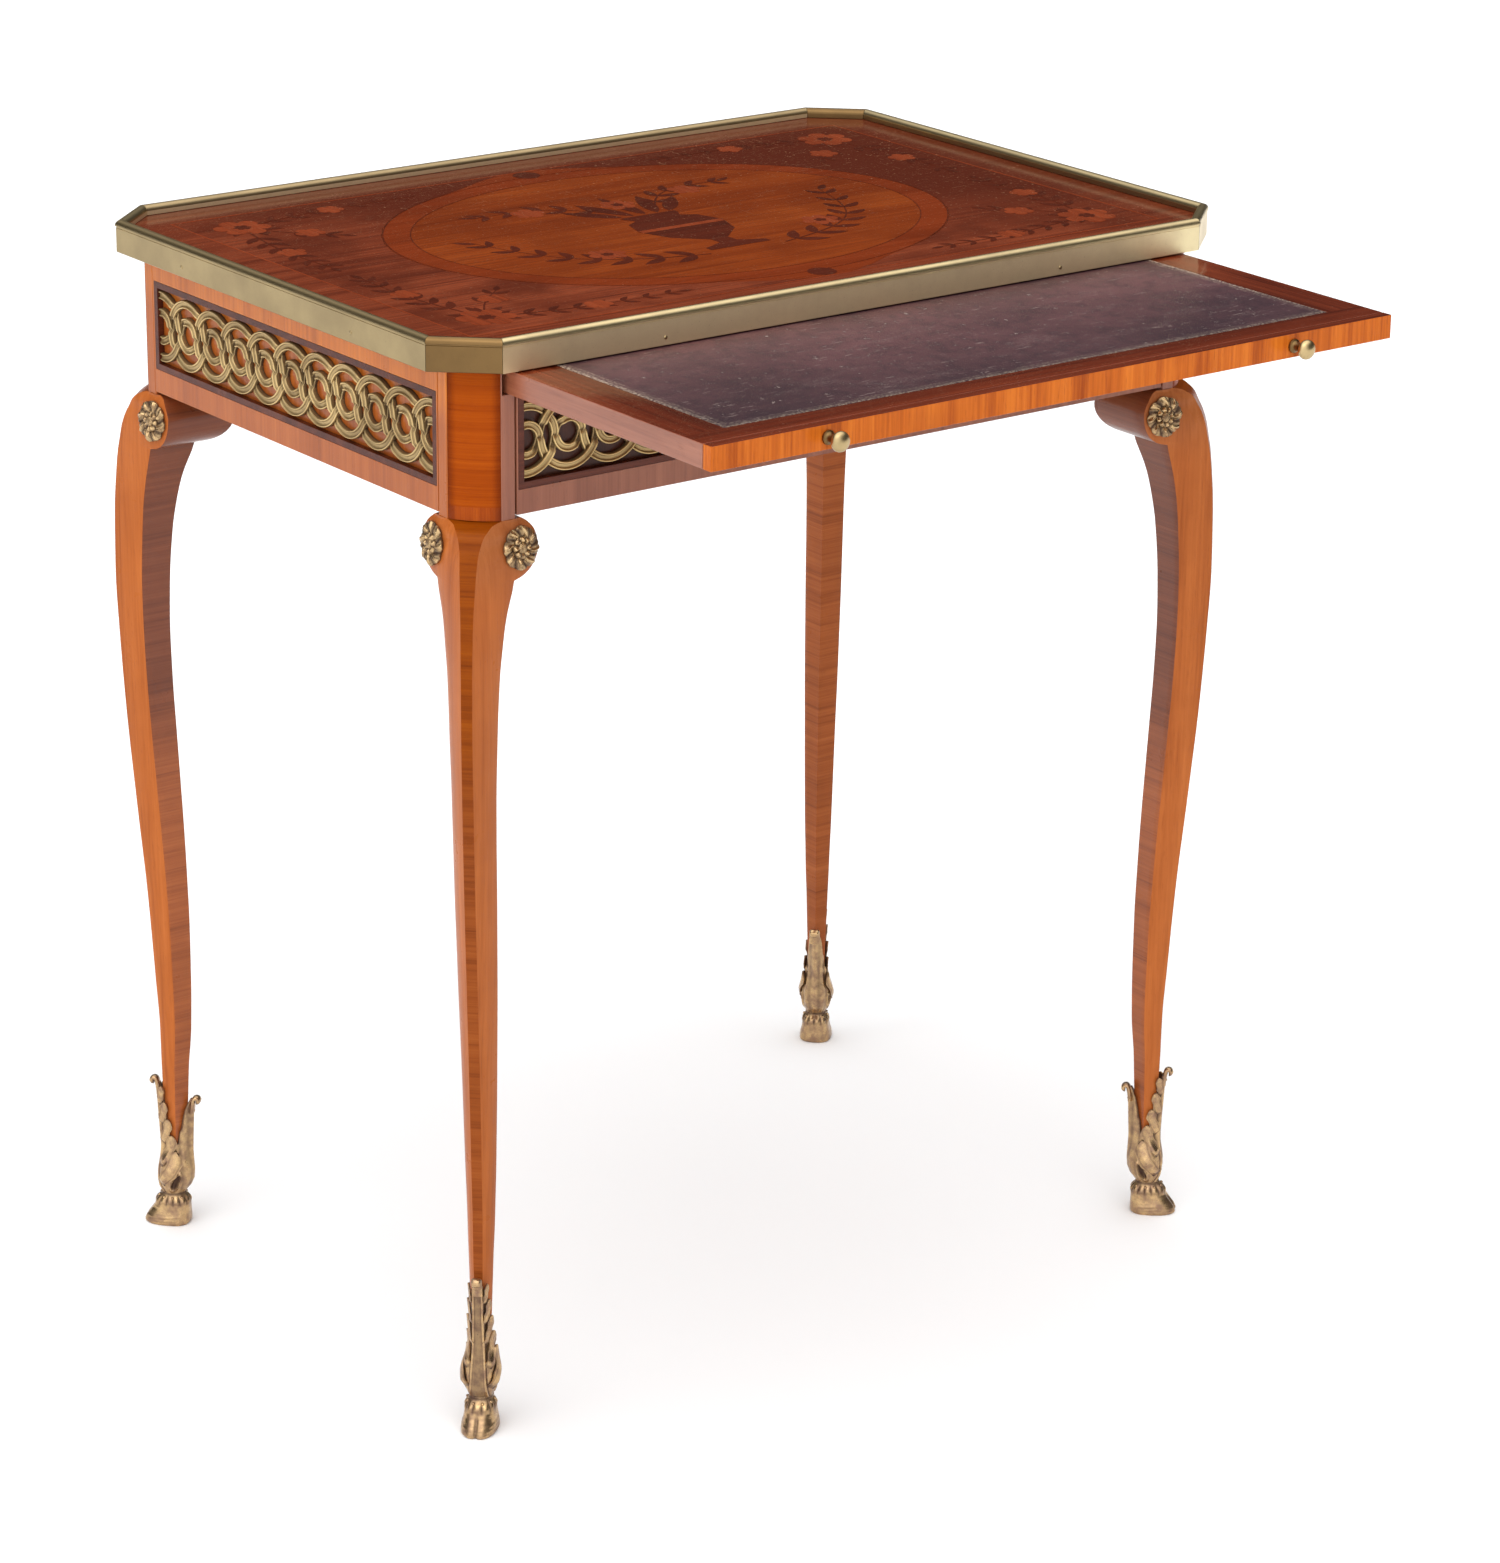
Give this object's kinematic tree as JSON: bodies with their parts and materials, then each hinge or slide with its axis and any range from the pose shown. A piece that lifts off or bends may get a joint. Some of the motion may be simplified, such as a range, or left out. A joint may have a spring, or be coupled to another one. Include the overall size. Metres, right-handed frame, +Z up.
{
  "type": "writing table",
  "caption": "Small writing table on slender cabriole legs with brass hoof shoes, gilt fret frieze, inlaid top with brass gallery, leather-topped pull-out slide and shallow drawer.",
  "frame": {"origin": "on the floor under the middle of the whole box with the writing slide pulled out, as in the picture; the table's own middle lies 104.25 mm behind it", "axes": "+Z up, +X to the table's right as seen from the front, the slide and the drawer come out towards -Y"},
  "size_m": [0.6234, 0.636, 0.7238],
  "materials": {
    "leg_veneer": "polished veneer, straight grain",
    "gilt_mount": "gilt, chased, aged in the hollows",
    "gilt_gallery": "gilt, drawn moulding",
    "gilt_knob": "gilt, turned",
    "gilt_fret": "gilt, cast with reeding, aged in the hollows",
    "edging_wood": "polished dark banding",
    "frieze_veneer": "polished veneer, straight grain",
    "drawer_lining": "plain planed wood",
    "inner_wood": "plain planed wood",
    "top_core": "plain planed wood under veneer",
    "top_banding": "polished crossbanding",
    "top_field": "polished dark veneer with inlay",
    "oval_ring": "polished banding with inlay",
    "oval_medallion": "polished marquetry",
    "slide_board": "worn polished wood",
    "slide_lipping": "polished veneer",
    "slide_leather": "worn, with a pale tooled border"
  },
  "bodies": {
    "table": {"leg_front_left": "leg_veneer", "leg_front_right": "leg_veneer", "leg_back_left": "leg_veneer", "leg_back_right": "leg_veneer", "shoe_front_left": "gilt_mount", "shoe_front_right": "gilt_mount", "shoe_back_left": "gilt_mount", "shoe_back_right": "gilt_mount", "rosette_front_left_side": "gilt_mount", "rosette_front_left_face": "gilt_mount", "rosette_front_right_side": "gilt_mount", "rosette_front_right_face": "gilt_mount", "rosette_back_left_side": "gilt_mount", "rosette_back_left_face": "gilt_mount", "rosette_back_right_side": "gilt_mount", "rosette_back_right_face": "gilt_mount", "gallery_front": "gilt_gallery", "gallery_back": "gilt_gallery", "gallery_left": "gilt_gallery", "gallery_right": "gilt_gallery", "gallery_front_left": "gilt_gallery", "gallery_front_right": "gilt_gallery", "gallery_back_left": "gilt_gallery", "gallery_back_right": "gilt_gallery", "fret_left": "gilt_fret", "edging_left": "edging_wood", "fret_right": "gilt_fret", "edging_right": "edging_wood", "fret_back": "gilt_fret", "edging_back": "edging_wood", "frieze_left": "frieze_veneer", "frieze_right": "frieze_veneer", "frieze_back": "frieze_veneer", "bearer_left": "inner_wood", "bearer_right": "inner_wood", "runner_left": "inner_wood", "runner_right": "inner_wood", "front_rail": "inner_wood", "top_panel": "top_core", "top_banding": "top_banding", "field_left": "top_field", "field_right": "top_field", "oval_ring": "oval_ring", "oval_medallion": "oval_medallion"},
    "writing_slide": {"slide_board": "slide_board", "slide_lipping": "slide_lipping", "slide_leather": "slide_leather", "knob_left": "gilt_knob", "knob_right": "gilt_knob", "stop_left": "inner_wood", "stop_right": "inner_wood"},
    "drawer": {"drawer_front": "frieze_veneer", "drawer_side_left": "drawer_lining", "drawer_side_right": "drawer_lining", "drawer_back": "drawer_lining", "drawer_bottom": "drawer_lining", "fret_front": "gilt_fret", "edging_front": "edging_wood"}
  },
  "joints": [
    {"name": "writing_slide", "type": "slide", "parent": "table", "child": "writing_slide", "axis": [0, -1, 0], "range_m": [-0.205, 0]},
    {"name": "drawer_slide", "type": "slide", "parent": "table", "child": "drawer", "axis": [0, -1, 0], "range_m": [0, 0.24]}
  ]
}
